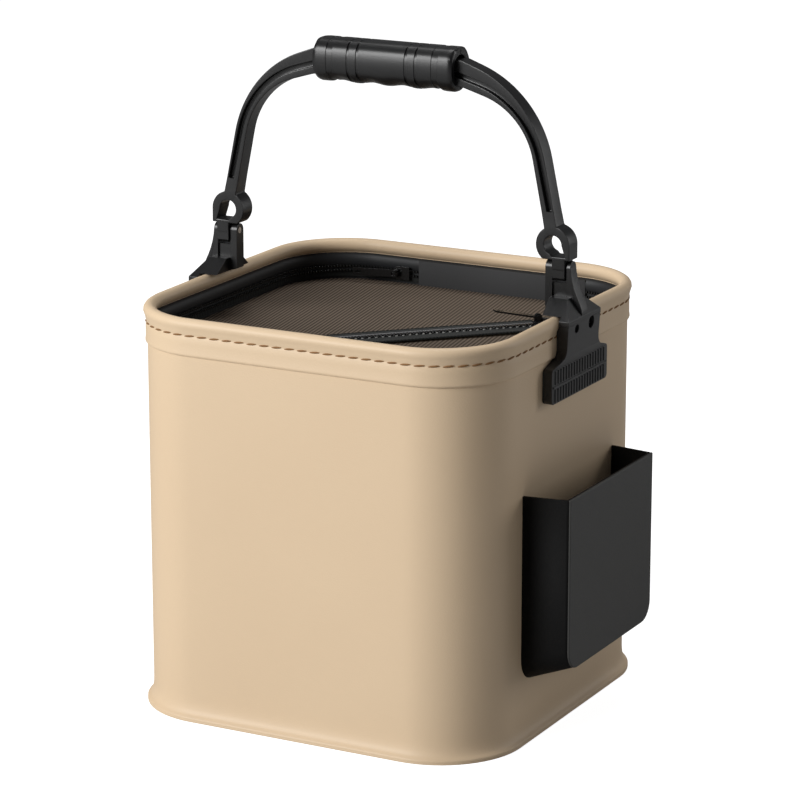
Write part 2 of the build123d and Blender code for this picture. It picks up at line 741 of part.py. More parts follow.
# Ring end of an arm: a loop under a neck, closed below by a tongue that turns between the
# bracket's cheeks. Its shoulders end high enough to pass over the cheeks' round tops.
ring_x = pivot_x + ring_shift
ring_z = pivot_z + ring_rise
waist_z = pivot_z + shoulder_rise
neck_z = pivot_z + neck_rise
neck_blend_z = ring_z + ring_radius
tongue_end = pivot_z - pivot_half_width
tongue_inner_x = pivot_x - tongue_inner_reach + cheek_fit
tongue_outer_x = pivot_x + tongue_outer_reach
with BuildPart() as ring_end:
    with BuildSketch(Plane.XZ.offset(-pivot_half_width)) as ring_outline:
        with Locations((ring_x, ring_z)):
            Circle(ring_radius)
        Polygon(
            (ring_x - ring_radius, ring_z), (pivot_x - shoulder_inner_reach, waist_z),
            (pivot_x - shoulder_inner_reach, tongue_end), (pivot_x + shoulder_outer_reach, tongue_end),
            (pivot_x + shoulder_outer_reach, ring_z), align=None,
        )
        Polygon(
            along(inner_foot, inner_corner, neck_z), along(inner_foot, inner_corner, ring_z),
            along(outer_foot, outer_corner, ring_z), along(outer_foot, outer_corner, neck_z), align=None,
        )
        throat = ring_outline.vertices().filter_by_position(
            Axis.Z, neck_blend_z - ring_radius / 2, neck_blend_z + ring_radius / 4
        )
        fillet(throat, neck_blend)
        with Locations((ring_x, ring_z)):
            Circle(ring_hole_radius, mode=Mode.SUBTRACT)
        Polygon(
            (ring_x - ring_hole_radius, ring_z), (tongue_inner_x, pivot_z + tongue_top_rise),
            (tongue_outer_x, pivot_z + tongue_top_rise), (ring_x + ring_hole_radius, ring_z),
            align=None, mode=Mode.SUBTRACT,
        )
    extrude(amount=2 * pivot_half_width)
    with BuildSketch(Plane.YZ.offset(pivot_x - 2 * ring_radius)):
        with Locations((0, pivot_z)):
            Circle(pivot_half_width)
        Polygon(
            (-pivot_half_width, pivot_z), (-pivot_half_width, neck_blend_z), (-arm_half_width, neck_z),
            (arm_half_width, neck_z), (pivot_half_width, neck_blend_z), (pivot_half_width, pivot_z),
            align=None,
        )
    extrude(amount=4 * ring_radius, mode=Mode.INTERSECT)
    cheek_zones = (
        (pivot_x - 2 * ring_radius, tongue_inner_x),
        (tongue_outer_x, pivot_x + 2 * ring_radius),
    )
    for start, end in cheek_zones:
        with BuildSketch(Plane.YZ.offset(start)):
            with Locations((0, waist_z - 2 * pivot_half_width)):
                Rectangle(4 * pivot_half_width, 4 * pivot_half_width)
        extrude(amount=end - start, mode=Mode.SUBTRACT)
    with BuildSketch(Plane.YZ.offset(pivot_x - ring_radius)):
        with Locations((0, pivot_z)):
            Circle(pin_radius + pin_fit)
    extrude(amount=2 * ring_radius, mode=Mode.SUBTRACT)

# Bail: one moulding. Each arm is a bar with a deep groove on both faces and a ring end, and
# the core runs on through the grip.
with BuildPart() as bail:
    with BuildSketch(Plane.XZ.offset(-arm_half_width)):
        with BuildLine():
            FilletPolyline(
                along(outer_foot, outer_corner, neck_z), outer_corner, (core_reach, core_top), (0, core_top),
                radius=[arm_outer_bend, core_bend],
            )
            FilletPolyline(
                along(inner_foot, inner_corner, neck_z), inner_corner, (core_reach, core_bottom),
                (0, core_bottom),
                radius=[arm_inner_bend, core_bend],
            )
            Line(along(outer_foot, outer_corner, neck_z), along(inner_foot, inner_corner, neck_z))
            Line((0, core_top), (0, core_bottom))
        make_face()
    extrude(amount=2 * arm_half_width)
    for face_side in (1, -1):
        with BuildSketch(Plane.XZ.offset(face_side * arm_half_width)):
            with BuildLine():
                FilletPolyline(
                    (pivot_x - groove_foot_inset, pivot_z + groove_foot_rise),
                    (pivot_x - groove_corner_inset, pivot_z + groove_corner_rise),
                    (grip_length / 2 - grip_chamfer, grip_z - groove_drop), radius=groove_bend,
                )
            trace(line_width=groove_width)
        extrude(amount=-face_side * groove_depth, mode=Mode.SUBTRACT)
    add(ring_end.part)
    mirror(about=Plane.YZ)
save(bail.part, "bail")


def grip_half(facing):
    """One shell of the grip: a half barrel with turned grooves and a channel for the core."""
    half = grip_length / 2
    top = grip_z + grip_radius
    with BuildPart() as shell:
        with BuildSketch(Plane.XZ):
            with BuildLine():
                Polyline(
                    (-half, grip_z), (-half, top - grip_chamfer), (grip_chamfer - half, top),
                    (half - grip_chamfer, top), (half, top - grip_chamfer), (half, grip_z), (-half, grip_z),
                )
            make_face()
            for groove in grip_grooves:
                for place in (groove, -groove):
                    Polygon(
                        (place - grip_groove_width / 2, top), (place, top - grip_groove_depth),
                        (place + grip_groove_width / 2, top), align=None, mode=Mode.SUBTRACT,
                    )
        revolve(axis=Axis((0, 0, grip_z), (1, 0, 0)))
        with BuildSketch(Plane.YZ.offset(-half)):
            with Locations((-facing * grip_radius, grip_z)):
                Rectangle(2 * grip_radius + 2 * grip_seam, 4 * grip_radius)
        extrude(amount=grip_length, mode=Mode.SUBTRACT)
        with BuildSketch(Plane.YZ.offset(-half)):
            with Locations((0, (core_top + core_bottom) / 2)):
                Rectangle(2 * (arm_half_width + core_fit), core_top - core_bottom + 2 * core_fit)
        extrude(amount=grip_length, mode=Mode.SUBTRACT)
    return shell.part


save(grip_half(-1), "grip_front")
save(grip_half(1), "grip_rear")
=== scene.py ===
# %% [markdown]
# # A folding bucket of welded foam sheet
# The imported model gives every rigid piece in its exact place. This scene dresses it: it remakes
# the soft wall, pocket, cover and zips as real sheets, cloth and teeth, sews the rim's stitches,
# and gives each surface a finish made of nodes. All lengths are in metres and in the model's
# frame: Z points up, X to the side with the pocket and Y to the back.

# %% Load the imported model
import bpy
import bmesh
import math
from mathutils import Matrix, Vector


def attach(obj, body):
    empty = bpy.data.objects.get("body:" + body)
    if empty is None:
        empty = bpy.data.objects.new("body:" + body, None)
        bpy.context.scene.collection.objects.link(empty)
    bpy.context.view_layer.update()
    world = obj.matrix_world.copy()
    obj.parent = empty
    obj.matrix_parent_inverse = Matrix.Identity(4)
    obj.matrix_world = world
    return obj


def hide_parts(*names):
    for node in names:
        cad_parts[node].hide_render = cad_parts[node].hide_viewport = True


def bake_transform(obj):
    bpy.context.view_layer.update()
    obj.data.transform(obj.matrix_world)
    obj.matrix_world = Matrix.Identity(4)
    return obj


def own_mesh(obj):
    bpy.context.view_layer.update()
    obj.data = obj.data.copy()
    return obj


mm = 0.001
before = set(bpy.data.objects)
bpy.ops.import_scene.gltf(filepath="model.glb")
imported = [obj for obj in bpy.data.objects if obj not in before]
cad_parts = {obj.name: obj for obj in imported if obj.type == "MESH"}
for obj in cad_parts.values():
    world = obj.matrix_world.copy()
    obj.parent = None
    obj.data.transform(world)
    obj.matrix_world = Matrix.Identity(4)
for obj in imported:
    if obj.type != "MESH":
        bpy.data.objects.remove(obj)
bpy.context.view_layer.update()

# %% [markdown]
# ## Camera
# The photograph was taken from the bucket's front right, slightly above its rim, with a long lens.
# The camera could be turned until it looks right, but a fit of the bucket's corners gave its exact
# place and two of its directions, so they are written down. The third is square to both.

# %% Camera at the photograph's angle
view_right = Vector((0.88331, 0.46879, 0.0))
view_up = Vector((-0.12090, 0.22868, 0.96597))
view_back = view_right.cross(view_up).normalized()
eye = Vector((1.04746, -1.96166, 0.79068))
camera = bpy.data.objects.new("camera", bpy.data.cameras.new("camera"))
bpy.context.scene.collection.objects.link(camera)
camera.data.lens = 157.1
camera.data.sensor_width = 36.0
camera.data.clip_end = 30.0
turn = Matrix((view_right, view_up, view_back)).transposed()
camera.matrix_world = Matrix.Translation(eye) @ turn.to_4x4()
bpy.context.scene.camera = camera
print("camera", round(eye.length, 2), "m from the bucket, lens", camera.data.lens)

# %% [markdown]
# ## Shader arithmetic
# A finish is a web of nodes. It could be drawn in the editor, but written as sums it is easier to
# read and to repeat. So one small class wraps a socket and turns +, - and * into Math nodes, and
# a second one holds a tree of nodes and adds every other kind by one method.

# %% Values and trees of nodes
class Value:
    """A socket's value, which can be used in sums."""

    def __init__(self, tree, socket):
        self.tree = tree
        self.socket = socket

    def sum(self, operation, first, second):
        """Adds a Math node, whose result is a new value."""
        math_node = self.tree.nodes.new("ShaderNodeMath")
        math_node.operation = operation
        plug(self.tree, first, math_node.inputs[0])
        plug(self.tree, second, math_node.inputs[1])
        return Value(self.tree, math_node.outputs[0])

    def __add__(self, other):
        return self.sum("ADD", self, other)

    def __radd__(self, other):
        return self.sum("ADD", other, self)

    def __sub__(self, other):
        return self.sum("SUBTRACT", self, other)

    def __rsub__(self, other):
        return self.sum("SUBTRACT", other, self)

    def __mul__(self, other):
        return self.sum("MULTIPLY", self, other)

    def __rmul__(self, other):
        return self.sum("MULTIPLY", other, self)


def plug(tree, item, socket):
    """Puts a number or colour into a socket, or links a value to it."""
    if isinstance(item, Value):
        tree.links.new(item.socket, socket)
    else:
        socket.default_value = item


class Nodes:
    """A tree to which nodes are added."""

    def __init__(self, tree):
        self.tree = tree

    def node(self, kind, settings={}, inputs={}, output=0):
        """Adds a node: its settings first, then the values or links of its sockets."""
        new = self.tree.nodes.new(kind)
        for key, value in settings.items():
            if key == "stops":
                for element, (position, shade) in zip(new.color_ramp.elements, value):
                    element.position = position
                    element.color = (shade, shade, shade, 1)
            else:
                setattr(new, key, value)
        for key, item in inputs.items():
            plug(self.tree, item, new.inputs[key])
        return Value(self.tree, new.outputs[output])

    def mix(self, share, first, second):
        """A colour between two, by a share from 0 to 1."""
        return self.node(
            "ShaderNodeMix", {"data_type": "RGBA"}, {0: share, 6: first, 7: second}, 2
        )


# %% [markdown]
# ## A finish
# Every finish is a material with one main shader. The patterns that the finishes below share are
# methods: a soft noise, a turned or flattened place for a pattern, even bands, and bump. All of
# them read Object coordinates, so a pattern stays with its piece and keeps its true size.

# %% Finish
class Finish(Nodes):
    """A material with its main shader and the patterns that it can use."""

    def __init__(self, name, **constants):
        self.material = bpy.data.materials.new(name)
        self.material.use_nodes = True
        super().__init__(self.material.node_tree)
        self.shader = self.tree.nodes["Principled BSDF"]
        self.set(**constants)
        self.place = self.node("ShaderNodeTexCoord", output="Object")
        print("finish", name)

    def set(self, **items):
        """Fills the shader's sockets: base_color=... is its socket Base Color."""
        for words, item in items.items():
            socket_name = words.replace("_", " ").title().replace("Ior", "IOR")
            plug(self.tree, item, self.shader.inputs[socket_name])

    def noise(self, scale, detail=2.0):
        """Soft clouds, which are finer where the scale is larger."""
        return self.node(
            "ShaderNodeTexNoise", inputs={"Vector": self.place, "Scale": scale, "Detail": detail}
        )

    def turned(self, angle, stretch=(1, 1, 1)):
        """The place for a pattern that is turned about Z, or flattened."""
        return self.node(
            "ShaderNodeMapping",
            inputs={"Vector": self.place, "Scale": stretch, "Rotation": (0, 0, angle)},
        )

    def waves(self, place, direction, scale):
        """Even bands, which repeat every 0.314 / scale metres."""
        return self.node(
            "ShaderNodeTexWave", {"wave_type": "BANDS", "bands_direction": direction},
            {"Vector": place, "Scale": scale, "Distortion": 0.0}, 1,
        )

    def bump(self, height, depth):
        """Makes a pattern catch the light as if it were so deep, in metres."""
        self.set(Normal=self.node("ShaderNodeBump", inputs={"Height": height, "Distance": depth}))


# %% [markdown]
# ## Foam sheet
# The body is foam sheet with a smooth, faintly grained skin. A flat colour would look like paint,
# so the grain is a fine pebble pattern in the bump, and the tone and gloss drift a little. Pocket
# and inner bands are coated too, so they get the same skin in darker, duller tones.

# %% Sheet finishes
def grained_sheet(name, dark, light, smooth, rough, grain_depth, gloss=0.4):
    """Sheet whose tone and roughness drift between two levels."""
    sheet = Finish(name, specular_ior_level=gloss)
    drift = sheet.noise(7.0)
    cells = sheet.node(
        "ShaderNodeTexVoronoi", {"feature": "SMOOTH_F1"},
        {"Vector": sheet.place, "Scale": 950.0, "Smoothness": 0.6},
    )
    fine = sheet.noise(2600.0)
    sheet.set(
        base_color=sheet.mix(drift * 0.8 + fine * 0.15, dark, light),
        roughness=smooth + (rough - smooth) * (drift * 0.6 + cells * 0.4),
    )
    sheet.bump(cells * 0.7 + fine * 0.3, grain_depth)
    return sheet.material


beige_sheet = grained_sheet(
    "beige_sheet", dark=(0.640, 0.482, 0.318, 1), light=(0.700, 0.540, 0.364, 1),
    smooth=0.44, rough=0.58, grain_depth=0.06 * mm,
)
# The pocket shell's near-black is partly the sheet's own black and partly painted shade: its sides
# are set darker than the lamps alone make them.
black_sheet = grained_sheet(
    "black_sheet", dark=(0.0030, 0.0030, 0.0031, 1), light=(0.0042, 0.0042, 0.0043, 1),
    smooth=0.6, rough=0.75, grain_depth=0.05 * mm, gloss=0.15,
)
grey_sheet = grained_sheet(
    "grey_sheet", dark=(0.040, 0.040, 0.038, 1), light=(0.050, 0.050, 0.048, 1),
    smooth=0.5, rough=0.62, grain_depth=0.05 * mm,
)
band_cloth = grained_sheet(
    "band_cloth", dark=(0.0100, 0.0106, 0.0118, 1), light=(0.0140, 0.0148, 0.0165, 1),
    smooth=0.52, rough=0.62, grain_depth=0.04 * mm,
)
hinge_cloth = grained_sheet(
    "hinge_cloth", dark=(0.026, 0.026, 0.027, 1), light=(0.031, 0.031, 0.032, 1),
    smooth=0.7, rough=0.8, grain_depth=0.04 * mm,
)

# %% [markdown]
# ## Moulded plastic and metal
# Handle and brackets are injection moulded. Such black plastic has a fine spark-eroded texture
# and is a little shinier where hands rub it. Pointiness could show that, but it reads the mesh's
# density, so a soft noise in the roughness is used instead. Lacquered zip parts are the same with
# more gloss, and the pins and screws are bare steel.

# %% Moulded plastic and metal finishes
def moulded(name, shade, smooth, rough, depth):
    """Nearly black plastic whose tone and roughness vary as if rubbed by hands."""
    plastic = Finish(name, specular_ior_level=0.45)
    speckle = plastic.noise(1500.0, 3.0)
    rub = plastic.noise(38.0, 4.0)
    dark, light = (
        (shade * level, shade * level, shade * cool, 1) for level, cool in ((0.8, 0.82), (1.3, 1.34))
    )
    plastic.set(base_color=plastic.mix(rub, dark, light), roughness=smooth + (rough - smooth) * rub)
    plastic.bump(speckle, depth)
    return plastic.material


black_plastic = moulded("black_plastic", 0.0085, smooth=0.27, rough=0.38, depth=0.03 * mm)
grip_plastic = moulded("grip_plastic", 0.0075, smooth=0.3, rough=0.4, depth=0.04 * mm)
black_metal = moulded("black_metal", 0.007, smooth=0.14, rough=0.22, depth=0.01 * mm)
teeth_plastic = moulded("teeth_plastic", 0.012, smooth=0.2, rough=0.3, depth=0.01 * mm)
lip_plastic = moulded("lip_plastic", 0.2, smooth=0.3, rough=0.4, depth=0.02 * mm)
dark_steel = Finish(
    "dark_steel", base_color=(0.5, 0.5, 0.51, 1), metallic=1.0, roughness=0.25
).material

# %% [markdown]
# ## Woven tape and thread
# Zip tape is woven. A picture of cloth would need a UV map, but two sets of bands at right angles,
# multiplied, give the over and under of a weave wherever the tape turns. Its colour is painted
# dark between the threads as shade and light on their tops as highlight. The rim's brown thread is
# so thin that a plain colour does for it.

# %% Woven finishes
def woven(name, shade, tint, scale, depth):
    """Cloth whose threads are painted dark at their edges as shade and light on top as highlight."""
    cloth = Finish(name, sheen_weight=0.04, specular_ior_level=0.2)
    upright = cloth.waves(cloth.place, "Z", scale)
    across = cloth.waves(cloth.turned(0.6, stretch=(1, 1, 0)), "DIAGONAL", scale * 0.8)
    weave = upright * across
    # dark is painted shade between the threads, light a painted highlight on their tops
    dark, light = (
        tuple(shade * level * part for part in tint) + (1,) for level in (0.55, 1.5)
    )
    cloth.set(base_color=cloth.mix(weave, dark, light), roughness=0.9 - 0.15 * weave)
    cloth.bump(weave, depth)
    return cloth.material


tape_cloth = woven("tape_cloth", 0.02, (0.97, 1.03, 0.96), 900.0, 0.05 * mm)
brown_thread = Finish(
    "brown_thread", base_color=(0.240, 0.130, 0.058, 1), roughness=0.8, specular_ior_level=0.15
).material
# Pale stitches along the slanting zip's teeth are painted glints.
pale_glint_thread = woven("pale_glint_thread", 0.4, (1.0, 0.99, 0.95), 700.0, 0.05 * mm)

# %% [markdown]
# ## Net
# The cover is a fine warp-knit net: ribs of light thread run from front to back, slightly askew,
# with thin threads across between them. Real holes would take millions of faces, so the threads
# are waves in the colour and bump, and the holes are a little see-through and painted dark as
# shade, for the shaded inside seen through them.

# %% Net finish
net_finish = Finish("net", roughness=0.8, specular_ior_level=0.25)
ribs = net_finish.waves(net_finish.turned(math.radians(-9)), "X", 115.0)
rungs = net_finish.waves(net_finish.place, "Y", 150.0)
knit = net_finish.node("ShaderNodeMath", {"operation": "MAXIMUM"}, {0: ribs, 1: rungs * 0.05})
threads = net_finish.node(
    "ShaderNodeValToRGB", {"stops": ((0.35, 0.0), (0.68, 1.0))}, {"Fac": knit}
)
patches = net_finish.noise(30.0)
thread_colour = net_finish.mix(patches, (0.142, 0.108, 0.079, 1), (0.172, 0.131, 0.098, 1))
# The dark colour between the threads is painted shade: the shaded inside seen through the holes.
net_finish.set(
    base_color=net_finish.mix(threads, (0.066, 0.051, 0.038, 1), thread_colour),
    alpha=0.8 + threads * 0.2,
)
net_finish.bump(knit, 0.2 * mm)
net_cloth = net_finish.material

# %% [markdown]
# ## The body's plan
# Wall, rim, bands and zips all follow one plan, a square with rounded corners. A piece could be
# modelled side by side and joined, but a sweep is surer: the outline of its section goes along one
# side and round one corner, and a spin by quarter turns makes the rest. Every piece that follows
# the plan then meets its neighbour exactly.

# %% The sweep round the plan
wall_out = 130 * mm
flat_half = 77 * mm  # half of a side's straight part, between two rounded corners


def whole(shape):
    """Everything in a bmesh, as its operators want it."""
    return shape.verts[:] + shape.edges[:] + shape.faces[:]


def round_the_body(section):
    """Sweeps a section, given as distances from the axis and heights in mm, round the plan."""
    shape = bmesh.new()
    points = [
        shape.verts.new((distance * mm, -flat_half, height * mm)) for distance, height in section
    ]
    line = [shape.edges.new(pair) for pair in zip(points, points[1:] + points[:1])]
    side = bmesh.ops.spin(
        shape, geom=points + line, cent=(0, 0, 0), axis=(0, 0, 1), angle=0.0, steps=8,
        dvec=(0, flat_half / 4, 0),
    )
    bmesh.ops.spin(
        shape, geom=side["geom_last"], cent=(flat_half, flat_half, 0), axis=(0, 0, 1),
        angle=math.pi / 2, steps=16, dvec=(0, 0, 0),
    )
    bmesh.ops.spin(
        shape, geom=whole(shape), cent=(0, 0, 0), axis=(0, 0, 1), angle=1.5 * math.pi, steps=3,
        dvec=(0, 0, 0), use_duplicate=True,
    )
    bmesh.ops.remove_doubles(shape, verts=shape.verts[:], dist=1e-6)
    bmesh.ops.recalc_face_normals(shape, faces=shape.faces[:])
    print("swept", len(section), "points round the plan")
    return shape


# %% [markdown]
# ## From a shape to a piece
# A bmesh isn't in the scene yet. Making it an object takes the same few lines each time: smooth
# faces but sharp corners, a finish, and the body that it rides on. Cloth that crosses the cover's
# hinge line rides on no body: its place is baked into its mesh. What is welded to the wall gets a
# mesh of its own.

# %% Finished pieces
net_height = 243.4 * mm
bend_start, bend_end = 119 * mm, 111 * mm  # where cloth leaves the rim and where it joins the cover


def finished(shape, name, finish, body, nodes=(), sharp=38.0, even=False):
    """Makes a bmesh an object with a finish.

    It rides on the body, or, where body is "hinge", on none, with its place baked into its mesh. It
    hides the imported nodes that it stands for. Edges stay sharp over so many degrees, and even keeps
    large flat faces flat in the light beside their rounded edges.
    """
    for face in shape.faces:
        face.smooth = True
    for edge in shape.edges:
        edge.smooth = len(edge.link_faces) != 2 or edge.calc_face_angle(0.0) < math.radians(sharp)
    data = bpy.data.meshes.new(name)
    shape.to_mesh(data)
    shape.free()
    data.materials.append(finish)
    piece = bpy.data.objects.new(name, data)
    bpy.context.scene.collection.objects.link(piece)
    if even:
        piece.modifiers.new("even_flats", "WEIGHTED_NORMAL").keep_sharp = True
    if body == "hinge":
        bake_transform(piece)
    else:
        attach(piece, body)
    if nodes:
        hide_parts(*nodes)
    print(name, len(data.polygons), "faces", [round(side / mm, 1) for side in piece.dimensions])
    return piece


def folds_down(piece):
    """Gives a piece on the wall a mesh of its own."""
    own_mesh(piece)


# %% [markdown]
# ## Wall
# The wall is one foam sheet 1.6 mm thick. Its foot is turned outwards in a soft cove and welded to
# the base sheet, which leaves the lip seen round the bottom. A modifier could bend a flat sheet,
# but the section is simple, so it is drawn once with both its skins and swept. One point part way
# up the straight outside keeps the cove's soft shading low on the wall.

# %% Wall sheet
lip_out = 134.3  # mm from the axis to the edge of the welded lip
wall_section = [
    (lip_out, 1.5), (lip_out, 2.5), (133.9, 3.1), (132.8, 3.9), (131.6, 5.4), (130.7, 8.0),
    (130.2, 11.5), (130.0, 16.0), (130.0, 70.0), (130.0, 245.4), (128.4, 245.4), (128.4, 1.5),
]
folds_down(finished(
    round_the_body(wall_section), "wall_sheet", beige_sheet, "base", ["wall_panel"]
))

# %% [markdown]
# ## Base
# The base is a flat sheet out to the edge of the lip. A flat face could be drawn point by point,
# but a square whose four corners are bevelled has the plan's shape at once. The same face serves
# the net cover later, so it is a function, and so are pulling it out and rounding its edges.

# %% Base sheet
def rounded(shape, corners, width, segments, affect="EDGES", **more):
    """Rounds edges, or the corners of a flat face, with a bevel."""
    bmesh.ops.bevel(
        shape, geom=corners, offset=width, segments=segments, profile=0.5, affect=affect,
        material=-1, **more,
    )


def body_plan(distance, height):
    """One face in the shape of the plan, whose sides are at a distance from the axis."""
    shape = bmesh.new()
    bmesh.ops.create_grid(
        shape, x_segments=1, y_segments=1, size=distance, matrix=Matrix.Translation((0, 0, height))
    )
    rounded(shape, shape.verts[:], distance - flat_half, 16, "VERTICES")
    return shape


def pulled_out(shape, way):
    """Makes a flat shape a solid by pulling its faces along a vector."""
    grown = bmesh.ops.extrude_face_region(shape, geom=shape.faces[:])
    moved = [item for item in grown["geom"] if isinstance(item, bmesh.types.BMVert)]
    bmesh.ops.translate(shape, vec=way, verts=moved)
    bmesh.ops.recalc_face_normals(shape, faces=shape.faces[:])
    return moved


base = body_plan(lip_out * mm, 0.0)
pulled_out(base, (0, 0, 1.5 * mm))
level_edges = [edge for edge in base.edges if abs(edge.verts[0].co.z - edge.verts[1].co.z) < 1e-6]
rounded(base, level_edges, 0.4 * mm, 2)
finished(base, "base_sheet", beige_sheet, "base", ["base_panel"])

# %% [markdown]
# ## Back seam
# One sheet makes the whole wall, so its two ends meet at the back under a welded strip. It could
# be a raised part of the wall, but a thin slab with rounded edges, 0.8 mm proud, is simpler and
# looks like the strip that it is.

# %% Back seam strip
def block(place, size, edge, segments=2):
    """A box round a place, with its edges rounded."""
    shape = bmesh.new()
    bmesh.ops.create_cube(shape, size=1.0, matrix=place @ Matrix.Diagonal((*size, 1.0)))
    rounded(shape, shape.edges[:], edge, segments)
    return shape


def slab(low, high, edge):
    """A block between two corners, all in mm."""
    size = [(b - a) * mm for a, b in zip(low, high)]
    middle = [(a + b) / 2 * mm for a, b in zip(low, high)]
    return block(Matrix.Translation(middle), size, edge * mm)


folds_down(finished(
    slab(low=(-7, 129.95, 8), high=(7, 130.8, 244.8), edge=0.35), "back_seam", beige_sheet,
    "base", ["wall_seam"],
))

# %% [markdown]
# ## Rolled rim
# At the top the sheet is rolled over a springy strip and sewn down as a hem. The section shows it
# all: the hem's welded lower edge, the groove that the thread pulls in, the dip above it and the
# round bead. Swept in one piece, the light runs along it as it does on the real rim. At the front
# the bead hangs a little lower, so its upper part is moved down there, more towards the middle.

# %% Rolled rim
bead_out, bead_height, bead_radius = 128.3, 266.1, 4.3
bead = [
    (
        bead_out + bead_radius * math.cos(math.radians(angle)),
        bead_height + bead_radius * math.sin(math.radians(angle)),
    )
    for angle in range(-30, 221, 25)
]
rim_section = [
    (129.9, 244.9), (131.0, 245.0), (131.45, 245.6), (131.45, 246.6), (131.2, 247.8),
    (131.15, 253.0), (131.1, 257.2), (130.8, 257.9), (130.7, 258.4), (130.8, 258.9),
    (131.05, 259.6), (131.25, 261.2), *bead, (126.9, 261.6), (128.4, 260.6), (128.4, 244.9),
]
front_dip = 1.2 * mm
dip_from, dip_over = 260, 8  # mm: the height where the dip starts and how far it takes to grow
rim = round_the_body(rim_section)
for vert in rim.verts:
    toward_front = max(0.0, -vert.co.y / wall_out)
    toward_bead = min(1.0, max(0.0, vert.co.z / mm - dip_from) / dip_over)
    vert.co.z -= front_dip * toward_front**2 * toward_bead
finished(rim, "rim_roll", beige_sheet, "rim", ["rim_sleeve"])

# %% [markdown]
# ## A walk round the plan
# Stitches and teeth are one small shape, repeated along the rim. An array that follows a curve
# could do it, but it bends each copy. A function that gives the place after a walk along the plan
# keeps every copy rigid, as real teeth are, and the teeth can leave out the hinge at the back.

# %% Places and copies
hinge_left, hinge_right = -45 * mm, 82 * mm  # the ends of the stretch where the cover is sewn on
back_only = 100 * mm  # what lies further back than this is on the back side


def on_plan(distance, travel, height):
    """The place after a walk along the plan: its X points ahead and its Y points inwards."""
    corner = distance - flat_half
    turns, left = divmod(travel, 2 * flat_half + corner * math.pi / 2)
    angle = max(0.0, left - 2 * flat_half) / corner
    point = Vector((distance, min(left, 2 * flat_half) - flat_half, height))
    if angle > 0:
        point = Vector(
            (flat_half + corner * math.cos(angle), flat_half + corner * math.sin(angle), height)
        )
    quarter = Matrix.Rotation(turns * math.pi / 2, 4, "Z")
    return quarter @ Matrix.Translation(point) @ Matrix.Rotation(math.pi / 2 + angle, 4, "Z")


def walk(distance, height, pitch, closed=True):
    """Places at an even pitch all round the plan, or only where the zip runs."""
    length = 4 * (2 * flat_half + (distance - flat_half) * math.pi / 2)
    count = round(length / pitch)
    places = [on_plan(distance, step * length / count, height) for step in range(count)]
    return [
        place for place in places
        if closed or place.translation.y < back_only
        or not hinge_left < place.translation.x < hinge_right
    ]


def repeated(pattern, places):
    """One mesh with a copy of a small shape at every place."""
    small = bpy.data.meshes.new("pattern")
    pattern.to_mesh(small)
    pattern.free()
    shape = bmesh.new()
    for place in places:
        known = len(shape.verts)
        shape.from_mesh(small)
        shape.verts.ensure_lookup_table()
        bmesh.ops.transform(shape, matrix=place, verts=shape.verts[known:])
    bpy.data.meshes.remove(small)
    print(len(places), "copies")
    return shape


# %% [markdown]
# ## Rim stitches
# A brown thread shows as short dashes below the bead. A dashed line in the finish would stay flat,
# and a long tube would show no dashes. So a stitch is a ball stretched along the seam, sunk halfway
# into the groove and tilted a little, as a lock stitch leaves it.

# %% Rim stitches
stitch_tilt = math.radians(-6)


def stitch(length, width):
    """One stitch: a ball stretched along X."""
    shape = bmesh.new()
    stretch = Matrix.Diagonal((length / 2, width / 2, width / 2, 1.0))
    bmesh.ops.create_uvsphere(shape, u_segments=8, v_segments=6, radius=1.0, matrix=stretch)
    return shape


rim_places = [
    place @ Matrix.Rotation(stitch_tilt, 4, "Y")
    for place in walk(distance=130.85 * mm, height=258.4 * mm, pitch=9.1 * mm)
]
rim_thread = repeated(stitch(length=7.4 * mm, width=1.3 * mm), rim_places)
finished(rim_thread, "rim_stitches", brown_thread, "rim")

# %% [markdown]
# ## Side pocket
# The pocket is a moulded tray with its open top upwards, welded to the wall by its edge. It could
# be a box with its faces moved, but it starts as one upright face on the wall with round lower
# corners. That face is pulled out to a smaller front, and top and back are deleted. A Solidify
# modifier then gives the sheet its thickness inwards.

# %% Pocket shell
pocket_top, pocket_low, pocket_half = 164.5 * mm, 40 * mm, 68 * mm
front_low, front_half = 51 * mm, 63.5 * mm
pocket_depth = 30.5 * mm


def upright_face(distance, low, top, half, corner):
    """One face that looks along X, between two heights, with its lower corners rounded."""
    shape = bmesh.new()
    middle = (low + top) / 2
    facing_x = Matrix.Translation((distance, 0, middle)) @ Matrix.Rotation(math.pi / 2, 4, "Y")
    size = Matrix.Diagonal(((top - low) / 2, half, 1.0, 1.0))
    bmesh.ops.create_grid(shape, x_segments=1, y_segments=1, size=1.0, matrix=facing_x @ size)
    rounded(shape, [vert for vert in shape.verts if vert.co.z < middle], corner, 8, "VERTICES")
    return shape


def front_border(shape, beyond):
    """The edges between two faces which lie beyond a distance along X."""
    return [
        edge for edge in shape.edges
        if len(edge.link_faces) == 2 and min(vert.co.x for vert in edge.verts) > beyond
    ]


pocket = upright_face(wall_out, pocket_low, pocket_top, pocket_half, corner=16 * mm)
front_corners = pulled_out(pocket, (pocket_depth, 0, 0))
narrower = (1, front_half / pocket_half, (pocket_top - front_low) / (pocket_top - pocket_low))
from_top = Matrix.Translation((0, 0, -pocket_top))
bmesh.ops.scale(pocket, vec=narrower, space=from_top, verts=front_corners)
pocket.normal_update()
open_faces = [
    face for face in pocket.faces
    if face.normal.z > 0.9 or face.calc_center_median().x < wall_out + 0.1 * mm
]
bmesh.ops.delete(pocket, geom=open_faces, context="FACES")
rounded(pocket, front_border(pocket, 160 * mm), 2.2 * mm, 4)
